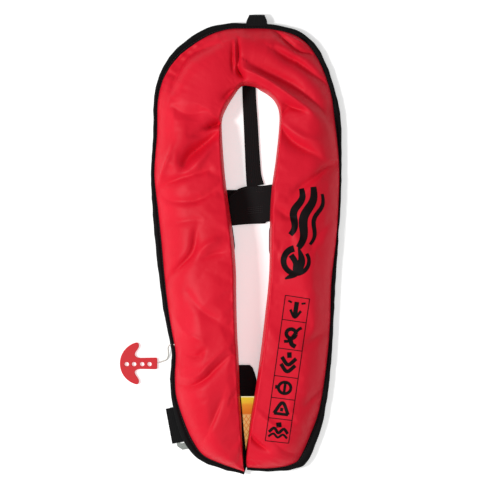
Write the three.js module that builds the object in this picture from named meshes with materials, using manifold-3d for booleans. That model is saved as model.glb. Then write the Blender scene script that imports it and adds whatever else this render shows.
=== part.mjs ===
// Inflatable life jacket, packed, lying on its back. Millimetres, +Z up, +Y towards the neck.
// The covers are horseshoe bands: every cross section runs from a point on the outer rim to a point
// on the edge of the neck opening. All other pieces are placed inside, behind or beside that band.
import * as THREE from "three";
import { mergeVertices } from "three/addons/utils/BufferGeometryUtils.js";
import Module from "manifold-3d";

const wasm = await Module();
wasm.setup();

// ---- driving dimensions -------------------------------------------------------------------------
const GAP = 0.3; // between pieces that touch
const FABRIC = 1.5; // covers, as thick as two plies and a seam
const RIM = 8; // bound rim, seen from the front
const COVER_EDGE = RIM + 0.9; // the cover's edge starts just inside the rim
const WEBBING = 1.8; // thickness of all belt webbing
const BELT = 43; // width of the waist belt
const BELT_Z = 1.4; // underside of the belt runs
const BACK_Z = 5; // underside of the back panel
const BACK_TOP = BACK_Z + FABRIC + 0.1;
const TAPE = 0.5; // hook or loop tape
const COVER_Z = BACK_TOP + GAP;
const CYLINDER_R = 15.5; // 33 g gas cylinder
const GAS_X = -56; // axis of the cylinder and firing pin
const GAS_Z = 29;
const BAY_FLOOR = 12.6; // top of the bladder layers under the inflator
const ORAL_X = 88; // axis of the oral tube
const ORAL_Z = 24;
const ROUND = 20; // sides of a turned piece

const RED = 0xd81f2b;
const BLACK = 0x151515;
const YELLOW = 0xf2c52e;

// Cross sections from the left lobe's tip, round the neck, to the right lobe's tip:
// rim x, rim y, opening x, opening y, thickness of the filled lobe there.
const SECTIONS = [
  [-3, -313, -4, -301, 14],
  [-36, -305, -5, -279, 26],
  [-62, -294, -6, -255, 33],
  [-80, -277, -7, -232, 38],
  [-93, -250, -8.5, -207, 41],
  [-102, -210, -9.5, -178, 46],
  [-104, -180, -10.5, -150, 46],
  [-102, -148, -12, -125, 46],
  [-108, -116, -13, -95, 46],
  [-114, -84, -13.5, -68, 46],
  [-119, -45, -14, -35, 45],
  [-124, 0, -17, 3, 43],
  [-128, 47, -23, 48, 41],
  [-130, 95, -29, 95, 38],
  [-127, 150, -33, 150, 36],
  [-126, 198, -32.5, 171, 35],
  [-117, 234, -26, 187, 34],
  [-96, 266, -17.5, 201, 33],
  [-60, 292, -10.5, 211, 32],
  [-28, 301, -4.5, 216, 32],
  [2, 301.5, 2, 216, 32],
  [36, 300, 12, 214, 32],
  [69, 292, 20, 209, 33],
  [92, 275, 30, 203, 33],
  [108, 249, 39, 194, 34],
  [121, 210, 44.5, 180, 35],
  [129, 170, 44.5, 158, 37],
  [130, 110, 40, 115, 38],
  [129, 60, 34, 70, 39],
  [126, 10, 32, 20, 39],
  [122, -50, 31, -40, 39],
  [119, -110, 25, -100, 39],
  [115, -170, 18, -158, 39],
  [108, -225, 11, -205, 38],
  [98, -263, 6, -235, 36],
  [82, -297, 3, -258, 32],
  [62, -306.5, 1, -275, 26],
  [32, -309, 0, -285, 18],
  [1, -307, -0.4, -293.5, 11],
];

// ---- helpers ------------------------------------------------------------------------------------
const root = new THREE.Group();

function material(color, roughness, metalness = 0) {
  return new THREE.MeshStandardMaterial({ color, roughness, metalness });
}

function add(name, geometry, look) {
  const mesh = new THREE.Mesh(geometry, look);
  mesh.name = name;
  root.add(mesh);
  return mesh;
}

function solid(geometry) {
  const bare = geometry.index ? geometry.toNonIndexed() : geometry.clone();
  bare.deleteAttribute("normal");
  bare.deleteAttribute("uv");
  const merged = mergeVertices(bare, 1e-4);
  const vertProperties = merged.attributes.position.array;
  const triVerts = new Uint32Array(merged.index.array);
  return new wasm.Manifold(new wasm.Mesh({ numProp: 3, vertProperties, triVerts }));
}

function fromSolid(made) {
  const mesh = made.getMesh();
  const geometry = new THREE.BufferGeometry();
  geometry.setAttribute("position", new THREE.BufferAttribute(mesh.vertProperties, 3));
  geometry.setIndex(new THREE.BufferAttribute(mesh.triVerts, 1));
  return geometry;
}

// A box given by its lowest and highest corner.
function box(low, high) {
  const size = high.map((value, i) => value - low[i]);
  const centre = high.map((value, i) => (value + low[i]) / 2);
  return new THREE.BoxGeometry(...size).translate(...centre);
}

function cut(geometry, ...tools) {
  return fromSolid(tools.reduce((body, tool) => body.subtract(solid(tool)), solid(geometry)));
}

// A turned piece: [radius, height] pairs, which start and end on the axis or close on themselves.
function turned(profile, sides = ROUND) {
  const points = profile.map(([radius, height]) => new THREE.Vector2(radius, height));
  return new THREE.LatheGeometry(points, sides);
}

function ring(outer, inner, low, high, sides = ROUND) {
  const profile = [[inner, low], [outer, low], [outer, high], [inner, high], [inner, low]];
  return turned(profile, sides);
}

// A turned piece built along +Z instead of +Y.
function upright(geometry, x, y) {
  return geometry.rotateX(Math.PI / 2).translate(x, y, 0);
}

function rod(radius, low, high, sides = ROUND) {
  return turned([[0, low], [radius, low], [radius, high], [0, high]], sides);
}

function plate(points, low, high, holes = []) {
  const shape = new THREE.Shape(points.map(([x, y]) => new THREE.Vector2(x, y)));
  holes.forEach((hole) => shape.holes.push(new THREE.Path(hole.map(([x, y]) => new THREE.Vector2(x, y)))));
  const geometry = new THREE.ExtrudeGeometry(shape, { depth: high - low, bevelEnabled: false });
  return geometry.translate(0, 0, low);
}

function rectangle(x0, y0, x1, y1) {
  return [[x0, y0], [x1, y0], [x1, y1], [x0, y1]];
}

// Closed body between an upper and a lower sheet of points with the same rows and columns.
function between(upper, lower) {
  const rows = upper.length;
  const columns = upper[0].length;
  const points = [...upper.flat(), ...lower.flat()];
  const top = (r, c) => r * columns + c;
  const under = (r, c) => rows * columns + r * columns + c;
  const faces = [];
  const quad = (a, b, c, d) => faces.push(a, b, c, a, c, d);
  for (let r = 0; r < rows - 1; r++) {
    for (let c = 0; c < columns - 1; c++) {
      quad(top(r, c), top(r + 1, c), top(r + 1, c + 1), top(r, c + 1));
      quad(under(r, c), under(r, c + 1), under(r + 1, c + 1), under(r + 1, c));
    }
    quad(top(r, 0), under(r, 0), under(r + 1, 0), top(r + 1, 0));
    quad(top(r, columns - 1), top(r + 1, columns - 1), under(r + 1, columns - 1), under(r, columns - 1));
  }
  for (let c = 0; c < columns - 1; c++) {
    quad(top(0, c), top(0, c + 1), under(0, c + 1), under(0, c));
    quad(top(rows - 1, c), under(rows - 1, c), under(rows - 1, c + 1), top(rows - 1, c + 1));
  }
  const flipped = faces.map((_, i) => faces[i - (i % 3) + (2 - (i % 3))]);
  const geometry = new THREE.BufferGeometry().setFromPoints(points);
  geometry.setIndex(flipped);
  return geometry;
}

// ---- the horseshoe band -------------------------------------------------------------------------
const rimCurve = new THREE.CatmullRomCurve3(SECTIONS.map(([x, y]) => new THREE.Vector3(x, y, 0)));
const neckCurve = new THREE.CatmullRomCurve3(SECTIONS.map(([, , x, y]) => new THREE.Vector3(x, y, 0)));
const STEPS = 2 * (SECTIONS.length - 1);

function thicknessAt(u) {
  const place = u * (SECTIONS.length - 1);
  const low = Math.min(Math.floor(place), SECTIONS.length - 2);
  return THREE.MathUtils.lerp(SECTIONS[low][4], SECTIONS[low + 1][4], place - low);
}

// Point of a curve moved sideways into the band by a distance.
function inwards(curve, u, distance, side) {
  const tangent = curve.getTangent(u);
  const point = curve.getPoint(u);
  return point.add(new THREE.Vector3(tangent.y, -tangent.x, 0).multiplyScalar(side * distance));
}

// One row per cross section: points from the rim to the opening, their height from a function of
// the place across the band (0 at the rim, 1 at the opening) and along it.
function sheet(rimInset, neckInset, columns, height, from = 0, to = 1) {
  const rows = [];
  const steps = Math.round(STEPS * (to - from));
  for (let i = 0; i <= steps; i++) {
    const u = THREE.MathUtils.lerp(from, to, i / steps);
    const outer = inwards(rimCurve, u, rimInset, 1);
    const inner = inwards(neckCurve, u, neckInset, -1);
    const row = [];
    for (let c = 0; c <= columns; c++) {
      const across = (1 - Math.cos((Math.PI * c) / columns)) / 2;
      row.push(outer.clone().lerp(inner, across).setZ(height(across, u)));
    }
    rows.push(row);
  }
  return rows;
}

// Flat band between two distances from the rim.
function rimBand(near, far, low, high) {
  const level = (z) => {
    const rows = [];
    for (let i = 0; i <= STEPS; i++) {
      const u = i / STEPS;
      rows.push([near, far].map((inset) => inwards(rimCurve, u, inset, 1).setZ(z)));
    }
    return rows;
  };
  return between(level(high), level(low));
}

function lobe(across, u, base, drop) {
  const fullness = Math.sqrt(1 - Math.abs(2 * across - 1) ** 2.6);
  return base + (thicknessAt(u) - drop) * fullness;
}

// ---- covers -------------------------------------------------------------------------------------
const ACROSS = 8;
const CORD_Y = -136;
const CORD_EXIT_Z = 10.8;
const cordNotch = box([-112, CORD_Y - 3, CORD_EXIT_Z - 1.5], [-86, CORD_Y + 3, CORD_EXIT_Z + 4]);

const backLevel = (z) => sheet(0, 0.5, 1, () => z);
add("back_cover", between(backLevel(BACK_TOP), backLevel(BACK_Z)), material(BLACK, 0.85));

const closureLow = BACK_TOP + GAP;
add("closure_loop_strip", rimBand(1, 6.5, closureLow, closureLow + TAPE), material(BLACK, 0.95));
const hookLow = closureLow + TAPE + GAP;
add("closure_hook_strip", rimBand(1, 6.5, hookLow, hookLow + TAPE), material(BLACK, 0.8));

const bindingLow = hookLow + TAPE + GAP;
const BINDING_TOP = 13.5;
add("edge_binding", cut(rimBand(0, RIM, bindingLow, BINDING_TOP), cordNotch), material(BLACK, 0.75));

// The cover is sewn from two halves that meet in a seam at the top of the neck.
const SEAM = 0.507;
const SEAM_GAP = 0.0006;
for (const [side, from, to] of [["left", 0, SEAM - SEAM_GAP], ["right", SEAM + SEAM_GAP, 1]]) {
  const outsideHeight = (across, u) => lobe(across, u, COVER_Z + 1, 1);
  const insideHeight = (across, u) => lobe(across, u, COVER_Z, 1.5);
  const coverOutside = sheet(COVER_EDGE, 0, ACROSS, outsideHeight, from, to);
  const coverInside = sheet(COVER_EDGE + FABRIC, FABRIC, ACROSS, insideHeight, from, to);
  const half = between(coverOutside, coverInside);
  add("front_cover_" + side, side === "left" ? cut(half, cordNotch) : half, material(RED, 0.45));
}

// ---- bladder, folded in the covers, with the bays that the fittings lie in ------------------------
const BLADDER_Z = COVER_Z + 1.3;
const bladderTop = sheet(RIM + 6, 6, 4, (across, u) => lobe(across, u, BLADDER_Z + 2, 12), 0.03, 0.97);
const bladderUnder = sheet(RIM + 6, 6, 4, () => BLADDER_Z, 0.03, 0.97);
const inflatorBay = box([-99, -172, BAY_FLOOR], [-20, 42, 60]);
const oralBay = box([66, -150, BAY_FLOOR], [112, 190, 60]);
const cordBay = box([-99, CORD_Y - 3, CORD_EXIT_Z - 1.5], [-60, CORD_Y + 3, BAY_FLOOR + 1]);
const bladder = cut(between(bladderTop, bladderUnder), inflatorBay, oralBay, cordBay);
add("bladder", bladder, material(YELLOW, 0.5));

for (const [side, x0, x1] of [["left", -84, -44], ["right", 56, 96]]) {
  const patch = box([x0, 60, COVER_Z + 0.1], [x1, 140, COVER_Z + 0.9]);
  add("reflective_patch_" + side, patch, material(0xc9ced2, 0.35));
}

// ---- inflator -----------------------------------------------------------------------------------
const STEM = [-41.5, -127.5];
const BODY_LOW = BAY_FLOOR + 4.4;
const BODY_TOP = 37.6;
const BODY_MIN = [-70, -150];
const BODY_MAX = [-28, -106];
const SOCKET_END = -116; // inner end of the cylinder's socket
const LEVER_PIVOT = [-65, -122];
const LEVER_ARM = 24;
const LEVER_Z = 23;
const LEVER_THICK = 3;

const flangeProfile = [[0, 12.9], [16, 12.9], [16, 14.4], [4.8, 14.9], [4.8, 42], [0, 42]];
add("valve_flange", upright(turned(flangeProfile), ...STEM), material(0x2a2a2c, 0.4));
for (const [name, low] of [["valve_washer_lower", 15.3], ["valve_washer_upper", BODY_TOP + GAP]]) {
  add(name, upright(ring(8.5, 5.1, low, low + 1.2), ...STEM), material(0x1b1b1b, 0.8));
}
const nutLow = BODY_TOP + 1.8;
const nutProfile = [[5.9, nutLow], [8, nutLow], [8, nutLow + 4], [6.5, nutLow + 4.6], [5.9, nutLow + 4.6]];
add("valve_nut", upright(turned([...nutProfile, nutProfile[0]], 6), ...STEM), material(0x202022, 0.4));

// Cuts along the gas axis run parallel to Y.
function alongGas(geometry) {
  return geometry.translate(GAS_X, 0, GAS_Z);
}

const bodyBlock = box([...BODY_MIN, BODY_LOW], [...BODY_MAX, BODY_TOP]);
const stemBore = upright(rod(5.2, 0, 60), ...STEM);
const socket = alongGas(rod(7.1, SOCKET_END, BODY_MAX[1] + 5));
const pinChamber = alongGas(rod(4.2, -140, SOCKET_END + 1));
const bobbinChamber = alongGas(rod(8.2, BODY_MIN[1] - 5, -138));
const leverSlot = box([BODY_MIN[0] - 5, BODY_MIN[1] - 5, LEVER_Z - 0.4], [-60.6, -112, LEVER_Z + LEVER_THICK + 0.4]);
const pivotBore = upright(rod(1.6, 10, 31), ...LEVER_PIVOT);
const bodyCuts = [stemBore, socket, pinChamber, bobbinChamber, leverSlot, pivotBore];
add("inflator_body", cut(bodyBlock, ...bodyCuts), material(0x1d1d1f, 0.45));

add("lever_pin", upright(rod(1.5, 17.5, 30.5, 12), ...LEVER_PIVOT), material(0xb9bdc0, 0.3, 1));

// The lever hangs beside the body from its pivot, with the eye of the pull cord at its tip.
const leverTip = [LEVER_PIVOT[0] - 7, LEVER_PIVOT[1] - 23];
const leverLean = Math.atan2(leverTip[1] - LEVER_PIVOT[1], leverTip[0] - LEVER_PIVOT[0]);
const leverShape = new THREE.Shape();
leverShape.absarc(0, 0, 4, Math.PI / 2, (3 * Math.PI) / 2, false);
leverShape.absarc(LEVER_ARM, 0, 3, -Math.PI / 2, Math.PI / 2, false);
for (const [x, radius] of [[0, 1.62], [LEVER_ARM, 1.4]]) {
  const hole = new THREE.Path();
  hole.absarc(x, 0, radius, 0, 2 * Math.PI, true);
  leverShape.holes.push(hole);
}
const leverOptions = { depth: LEVER_THICK, bevelEnabled: false, curveSegments: 8 };
const lever = new THREE.ExtrudeGeometry(leverShape, leverOptions);
lever.rotateZ(leverLean).translate(...LEVER_PIVOT, LEVER_Z);
add("lever", lever, material(0x1f1f21, 0.45));

const clip = box([LEVER_PIVOT[0] - 10, -142, LEVER_Z + LEVER_THICK + 0.8], [LEVER_PIVOT[0] - 5.6, -134, 32]);
add("safety_clip", clip, material(0x2f9a4a, 0.4));

const pinProfile = [[0, -136], [3.8, -136], [3.8, -129], [1.3, -128.6], [1.1, -119], [0, -117.5]];
add("firing_pin", alongGas(turned(pinProfile, 16)), material(0xc0c2c4, 0.3, 1));
add("pin_spring", alongGas(ring(3.8, 2.6, -128, -118, 16)), material(0xb0b2b4, 0.35, 1));
add("bobbin", alongGas(ring(7.6, 2, -147, -139)), material(0xefe9dc, 0.6));
const capProfile = [[0, -163], [9, -163], [10.5, -161.5], [10.5, -150.4], [7.4, -150.4], [7.4, -147.6], [0, -147.6]];
add("bobbin_cap", alongGas(turned(capProfile, 12)), material(0xe9c21f, 0.4));

add("cylinder_gasket", alongGas(ring(6.6, 3, SOCKET_END + 0.3, SOCKET_END + 1.8)), material(BLACK, 0.8));
const neckEnd = SOCKET_END + 2.8;
const shoulder = -100;
const gasProfile = [[0, neckEnd], [6.7, neckEnd], [6.7, shoulder], [9.5, shoulder + 3], [13.2, shoulder + 8]];
gasProfile.push([CYLINDER_R, shoulder + 15], [CYLINDER_R, 18], [13.8, 25], [9, 30], [0, 32]);
add("co2_cylinder", alongGas(turned(gasProfile)), material(0x6f7478, 0.35, 0.9));

// ---- oral tube, whistle and lifting becket, in the right lobe ------------------------------------
function alongOral(geometry) {
  return geometry.translate(ORAL_X, 0, ORAL_Z);
}

add("oral_tube", alongOral(ring(6, 4.2, 44, 126)), material(0x1c1c1c, 0.6));
const valveProfile = [[3, 126.3], [7.5, 126.3], [7.5, 146], [4.7, 146], [4.7, 128.6], [3, 128.6], [3, 126.3]];
add("oral_valve_body", alongOral(turned(valveProfile)), material(0x232323, 0.4));
add("poppet_spring", alongOral(ring(4.2, 3.2, 129, 137.6, 16)), material(0xb0b2b4, 0.35, 1));
const poppetProfile = [[0, 138], [4.2, 138], [4.2, 140], [2.5, 140.4], [2.5, 149], [0, 149]];
add("oral_poppet", alongOral(turned(poppetProfile, 16)), material(0xd43a2a, 0.4));
const oralCapProfile = [[7.8, 136], [9, 136], [9, 153], [7, 155], [0, 155], [0, 153], [7.8, 153], [7.8, 136]];
add("oral_cap", alongOral(turned(oralCapProfile)), material(0xe0be2a, 0.45));

const whistleOutline = [[80, -60], [96, -60], [96, -14], [91, -8], [85, -8], [80, -14]];
const whistleSlot = box([83, -48, 25], [93, -42, 40]);
const whistleBore = box([83, -56, 22], [93, -20, 29]);
add("whistle", cut(plate(whistleOutline, 19, 32), whistleSlot, whistleBore), material(0xf0a21c, 0.35));
const lanyardRoute = [[88, -7.4, 25], [84, 4, 22], [90, 16, 18], [86, 30, 16], [76, 40, 15]];
const lanyardPath = new THREE.CatmullRomCurve3(lanyardRoute.map((point) => new THREE.Vector3(...point)));

// A cord: a section with eight sides carried along a path.
function cord(path, diameter, steps) {
  const section = new THREE.Shape();
  const corners = 8;
  for (let i = 0; i < corners; i++) {
    const angle = (2 * Math.PI * i) / corners;
    const point = [(diameter / 2) * Math.cos(angle), (diameter / 2) * Math.sin(angle)];
    if (i === 0) section.moveTo(...point);
    else section.lineTo(...point);
  }
  return new THREE.ExtrudeGeometry(section, { steps, extrudePath: path, bevelEnabled: false });
}
add("whistle_lanyard", cord(lanyardPath, 2, 12), material(0xe8e6df, 0.8));

const becketOuter = rectangle(74, -146, 104, -76);
const becketInner = rectangle(82, -138, 96, -84);
add("lifting_becket", plate(becketOuter, BAY_FLOOR + 1, BAY_FLOOR + 2.6, [becketInner]), material(BLACK, 0.85));

// ---- harness behind the covers ------------------------------------------------------------------
const BELT_TOP = BELT_Z + WEBBING;
const SLEEVE_TOP = 4.6;
const LEFT_RUN = -85.5; // outer edge of the belt run behind the left lobe
const RIGHT_RUN = 58; // inner edge of the run behind the right lobe
const RUN_END = -206;
const YOKE = { left: -24, right: 56, low: 27, high: 80 };
const beltLow = (YOKE.low + YOKE.high - BELT) / 2;
const beltHigh = beltLow + BELT;
const black = () => material(BLACK, 0.85);

// A flat sleeve that webbing runs through, along X or Y.
function sleeve(low, high, along) {
  const wall = 1;
  const inside = low.map((value) => value + wall);
  const outside = high.map((value) => value - wall);
  inside[along] = low[along] - 5;
  outside[along] = high[along] + 5;
  return cut(box(low, high), box(inside, outside));
}
const yokeSleeve = sleeve([YOKE.left, YOKE.low, 0], [YOKE.right, YOKE.high, SLEEVE_TOP], 0);
add("yoke_sleeve", yokeSleeve, black());
for (const [side, edge] of [["left", LEFT_RUN], ["right", RIGHT_RUN]]) {
  const loop = sleeve([edge - 4, -160, 0], [edge + BELT + 4, -126, SLEEVE_TOP], 1);
  add("belt_loop_" + side, loop, black());
}

const leftRun = [[15, beltLow], [15, beltHigh], [LEFT_RUN + 30, beltHigh], [LEFT_RUN, beltHigh - 30]];
leftRun.push([LEFT_RUN, RUN_END], [LEFT_RUN + BELT, RUN_END], [LEFT_RUN + BELT, beltLow]);
add("belt_left", plate(leftRun, BELT_Z, BELT_TOP), black());
const rightEdge = RIGHT_RUN + BELT;
const rightRun = [[15.5, beltLow], [RIGHT_RUN, beltLow], [RIGHT_RUN, RUN_END], [rightEdge, RUN_END]];
rightRun.push([rightEdge, beltHigh - 30], [rightEdge - 30, beltHigh], [15.5, beltHigh]);
add("belt_right", plate(rightRun, BELT_Z, BELT_TOP), black());
const frontEnd = [[-41.5, -207], [14, -207], [14, -184], [9, -167], [5, -164], [-41.5, -164]];
add("belt_front_end", plate(frontEnd, BELT_Z, BELT_TOP), black());

const sliderEdge = RIGHT_RUN - 3;
const sliderSlots = [-57, -47].map((y) => rectangle(RIGHT_RUN - 0.5, y, rightEdge + 0.5, y + 6));
const sliderOutline = rectangle(sliderEdge, -61, rightEdge + 3, -37);
const slider = plate(sliderOutline, BELT_TOP + GAP, SLEEVE_TOP + 0.1, sliderSlots);
add("belt_slider", slider, material(0x1d1d1f, 0.4));

const strapOutline = [[-6, 255], [13, 255], [14, 205], [17, 129], [20, 96], [25, 81], [1, 81], [-3, 150]];
add("back_strap", plate(strapOutline, BELT_Z, BELT_TOP), black());
const loopRing = sleeve([2, 302, 3], [27, 313, 13], 0);
add("hanging_loop", loopRing, black());

const labelOutline = rectangle(-50, -283, 52, -208);
add("instruction_label", plate(labelOutline, BELT_Z, BELT_TOP), material(0xf0a030, 0.6));

// The loose end of the belt comes out under the left lobe's rim, with its steel plate.
const buckleTurn = THREE.MathUtils.degToRad(-10.6);
const plateTop = BELT_Z + 1.2;
const strapPiece = box([-21, -24.5, plateTop + GAP], [21, 24.5, plateTop + GAP + WEBBING]);
add("buckle_strap", strapPiece.rotateZ(-buckleTurn).translate(-85, -244, 0), black());
const plateCorner = 6;
const plateOutline = [[-14, -31 + plateCorner], [-14 + plateCorner, -31], [16, -31], [16, 29], [-14, 29]];
const plateSlots = [[-9, 22], [3.5, 20]].map(([x, half]) => rectangle(x, -half, x + 6, half));
const steelPlate = plate(plateOutline, BELT_Z, plateTop, plateSlots);
add("buckle_plate", steelPlate.rotateZ(-buckleTurn).translate(-85, -248, 0), material(0xc8cec8, 0.25, 1));

// ---- pull cord and handle, lying beside the left lobe ---------------------------------------------
const HANDLE_Z = [0.4, 4.4];
const cordRoute = [
  [-72, CORD_Y, CORD_EXIT_Z], [-79, CORD_Y, CORD_EXIT_Z], [-86, CORD_Y, CORD_EXIT_Z],
  [-93, CORD_Y, CORD_EXIT_Z], [-99, CORD_Y, CORD_EXIT_Z], [-103.6, CORD_Y - 0.3, 10.5],
  [-106, -139, 8.6], [-106.4, -144, 5.6], [-106.3, -149, 3.4], [-107, -153.6, 2.2],
  [-109.4, -157, 1.8], [-114, -159, 2], [-118.5, -160.6, 2.3], [-121, -161.4, 2.4],
];
const cordPath = new THREE.CatmullRomCurve3(cordRoute.map((point) => new THREE.Vector3(...point)));
add("pull_cord", cord(cordPath, 2, 24), material(0xdcdcd4, 0.8));

const HANDLE = { x: -143, y: -162, radius: 29.5, stem: 8, end: -121.3 };
const handleShape = new THREE.Shape();
const spread = THREE.MathUtils.degToRad(104);
const tipX = HANDLE.x + HANDLE.radius * Math.cos(spread);
const tipRise = HANDLE.radius * Math.sin(spread);
handleShape.moveTo(HANDLE.end, HANDLE.y + HANDLE.stem - 2);
handleShape.lineTo(HANDLE.end - 2, HANDLE.y + HANDLE.stem);
handleShape.lineTo(HANDLE.x - 2, HANDLE.y + HANDLE.stem);
handleShape.quadraticCurveTo(HANDLE.x - 12, HANDLE.y + HANDLE.stem, HANDLE.x - 8.6, HANDLE.y + 14.5);
handleShape.lineTo(HANDLE.x - 4.4, HANDLE.y + 20.5);
handleShape.quadraticCurveTo(HANDLE.x - 2, HANDLE.y + 27.5, tipX, HANDLE.y + tipRise);
handleShape.absarc(HANDLE.x, HANDLE.y, HANDLE.radius, spread, 2 * Math.PI - spread, false);
handleShape.quadraticCurveTo(HANDLE.x - 2, HANDLE.y - 27.5, HANDLE.x - 4.4, HANDLE.y - 20.5);
handleShape.lineTo(HANDLE.x - 8.6, HANDLE.y - 14.5);
handleShape.quadraticCurveTo(HANDLE.x - 12, HANDLE.y - HANDLE.stem, HANDLE.x - 2, HANDLE.y - HANDLE.stem);
handleShape.lineTo(HANDLE.end - 2, HANDLE.y - HANDLE.stem);
handleShape.lineTo(HANDLE.end, HANDLE.y - HANDLE.stem + 2);
for (const x of [-163, -153, -142, -132]) {
  const hole = new THREE.Path();
  hole.absarc(x, HANDLE.y - 1, 2.9, 0, 2 * Math.PI, true);
  handleShape.holes.push(hole);
}
const handleDepth = HANDLE_Z[1] - HANDLE_Z[0];
const handle = new THREE.ExtrudeGeometry(handleShape, { depth: handleDepth, bevelEnabled: false, curveSegments: 12 });
add("pull_handle", handle.translate(0, 0, HANDLE_Z[0]), material(0xd2202a, 0.35));

export default root;
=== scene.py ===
"""An inflatable life jacket lying on its back, finished piece by piece around its solids.

Each section makes one piece, or a group of like pieces, in the order in which the jacket is put
together: the back first, then the covers, the trimmings, the belt and the pull handle.
"""

import math

import bmesh
import bpy
import numpy as np
from mathutils import Matrix, Vector, noise


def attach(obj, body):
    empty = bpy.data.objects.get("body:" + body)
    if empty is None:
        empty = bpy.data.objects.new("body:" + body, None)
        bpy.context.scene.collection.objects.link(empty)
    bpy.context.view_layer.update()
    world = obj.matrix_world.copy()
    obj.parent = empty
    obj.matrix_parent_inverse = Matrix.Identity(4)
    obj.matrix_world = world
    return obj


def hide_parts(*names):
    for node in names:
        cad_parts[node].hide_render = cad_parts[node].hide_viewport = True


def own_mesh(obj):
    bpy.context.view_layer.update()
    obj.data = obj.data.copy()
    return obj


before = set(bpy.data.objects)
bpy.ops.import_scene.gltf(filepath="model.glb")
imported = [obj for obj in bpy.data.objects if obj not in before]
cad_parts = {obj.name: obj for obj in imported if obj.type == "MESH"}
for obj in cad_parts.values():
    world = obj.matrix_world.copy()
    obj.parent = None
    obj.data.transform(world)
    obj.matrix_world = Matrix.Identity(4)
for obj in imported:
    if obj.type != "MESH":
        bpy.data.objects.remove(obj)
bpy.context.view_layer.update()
scene = bpy.context.scene
MM = 0.001


# --- Camera -----------------------------------------------------------------------------------
# Looks straight down on the jacket from above, with a long lens, so that 680 mm of the table
# fills the frame at the height of the rim.
FRAME_WIDTH = 0.680
CAMERA_DISTANCE = 2.4
RIM_HEIGHT = 0.010
SENSOR = 0.036

camera_data = bpy.data.cameras.new("camera")
camera_data.sensor_width = SENSOR * 1000
camera_data.lens = SENSOR * 1000 * CAMERA_DISTANCE / FRAME_WIDTH
camera = bpy.data.objects.new("camera", camera_data)
camera.location = (0.0051, -0.0073, RIM_HEIGHT + CAMERA_DISTANCE)
scene.collection.objects.link(camera)
scene.camera = camera


# --- Pull cord --------------------------------------------------------------------------------
# A 2 mm braided polyester cord. It leaves the lever inside the left lobe, comes out through a
# slot in the rim and drops to the table, where it is tied into the pull handle.
CORD_DIAMETER = 0.002
CORD_ROUTE = [
    (-72, -136, 10.8), (-79, -136, 10.8), (-86, -136, 10.8), (-93, -136, 10.8),
    (-99, -136, 10.8), (-103.6, -136.3, 10.5), (-106, -139, 8.6), (-106.4, -144, 5.6),
    (-106.3, -149, 3.4), (-107, -153.6, 2.2), (-109.4, -157, 1.8), (-114, -159, 2),
    (-118.5, -160.6, 2.3), (-121, -161.4, 2.4),
]


def colour(hex_code):
    """A linear colour from an sRGB hex code."""
    channels = [int(hex_code[i : i + 2], 16) / 255 for i in (1, 3, 5)]
    linear = [c / 12.92 if c <= 0.04045 else ((c + 0.055) / 1.055) ** 2.4 for c in channels]
    return (*linear, 1.0)


def material(name, base, roughness, metallic=0.0, **sockets):
    """A new material and its shader, with the shader's constant values set on its own sockets."""
    made = bpy.data.materials.new(name)
    made.use_nodes = True
    shader = made.node_tree.nodes["Principled BSDF"]
    shader.inputs["Base Color"].default_value = colour(base)
    shader.inputs["Roughness"].default_value = roughness
    shader.inputs["Metallic"].default_value = metallic
    for socket, value in sockets.items():
        shader.inputs[socket.replace("_", " ")].default_value = value
    return made, shader


def add(made, kind, links=None, **settings):
    """A node of a kind, with its settings, and each input linked to a socket or set to a value."""
    tree = made.node_tree
    node = tree.nodes.new(kind)
    for name, value in settings.items():
        setattr(node, name, value)
    for socket, value in (links or {}).items():
        if isinstance(value, bpy.types.NodeSocket):
            tree.links.new(value, node.inputs[socket])
        else:
            node.inputs[socket].default_value = value
    return node


def link(made, output, target):
    made.node_tree.links.new(output, target)


def ramp(made, factor, stops):
    """A colour ramp over a factor, with (position, hex colour) stops."""
    node = add(made, "ShaderNodeValToRGB", {"Fac": factor})
    while len(node.color_ramp.elements) < len(stops):
        node.color_ramp.elements.new(0.5)
    for element, (position, code) in zip(node.color_ramp.elements, stops):
        element.position = position
        element.color = colour(code)
    return node


def deselect():
    bpy.ops.object.select_all(action="DESELECT")


def mesh_piece(name, points, faces, smooth=True):
    """A new object with a mesh from points and faces, in metres."""
    mesh = bpy.data.meshes.new(name)
    mesh.from_pydata([tuple(p) for p in points], [], faces)
    mesh.validate()
    if smooth:
        mesh.polygons.foreach_set("use_smooth", [True] * len(mesh.polygons))
    piece = bpy.data.objects.new(name, mesh)
    scene.collection.objects.link(piece)
    return piece


def finish_piece(piece, look, body="jacket", replaces=()):
    """Gives a piece its material and its body, and hides the solids that it stands for."""
    piece.data.materials.clear()
    piece.data.materials.append(look)
    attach(piece, body)
    if replaces:
        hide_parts(*replaces)


# Braid: two families of strands about 1.4 mm apart, crossing along the cord.
BRAID_SCALE = 1400 / (2 * math.pi)
BRAID_LEAN = 0.8
braid, braid_shader = material("braided_polyester", "#D9D8D0", 0.75, Sheen_Weight=0.3)
place = add(braid, "ShaderNodeTexCoord").outputs["Object"]
strands = []
for lean in (1, -1):
    turned = add(braid, "ShaderNodeMapping", {"Vector": place, "Rotation": (0, 0, lean * BRAID_LEAN)})
    wave = add(braid, "ShaderNodeTexWave", {"Vector": turned.outputs[0], "Scale": BRAID_SCALE})
    strands.append(wave.outputs["Fac"])
plait = add(braid, "ShaderNodeMath", {0: strands[0], 1: strands[1]}, operation="MAXIMUM")
braid_bump = add(braid, "ShaderNodeBump", {"Height": plait.outputs[0], "Strength": 0.6, "Distance": 0.0003})
link(braid, braid_bump.outputs[0], braid_shader.inputs["Normal"])
braid_tone = ramp(braid, plait.outputs[0], [(0.0, "#9C9A90"), (1.0, "#E4E3DC")])
link(braid, braid_tone.outputs[0], braid_shader.inputs["Base Color"])

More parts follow.
